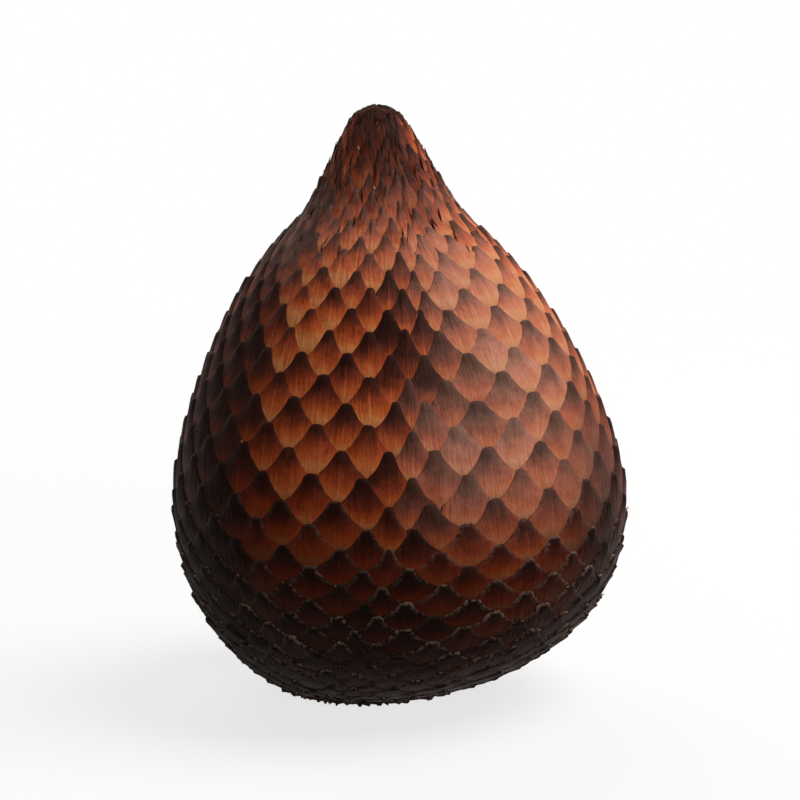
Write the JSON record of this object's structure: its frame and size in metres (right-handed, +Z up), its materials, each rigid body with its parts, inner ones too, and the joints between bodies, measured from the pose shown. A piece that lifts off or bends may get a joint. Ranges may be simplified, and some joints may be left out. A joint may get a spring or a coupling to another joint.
{
  "type": "snake fruit",
  "caption": "Whole snake fruit (salak): a pear-shaped fruit with a pointed stalk end, covered in overlapping brown scales, resting on its round end.",
  "frame": {"origin": "centre of the small flat spot that the fruit rests on", "axes": "+Z up, from the round end to the pointed stalk end; -Y is the side seen from the front; the belly bulges to +X"},
  "size_m": [0.056, 0.0559, 0.072],
  "materials": {
    "scaly_skin": "thin dry scaly rind, satin, reddish brown with near-black tips and orange scale bases"
  },
  "bodies": {
    "root": {"snake_fruit": "scaly_skin"}
  },
  "joints": []
}
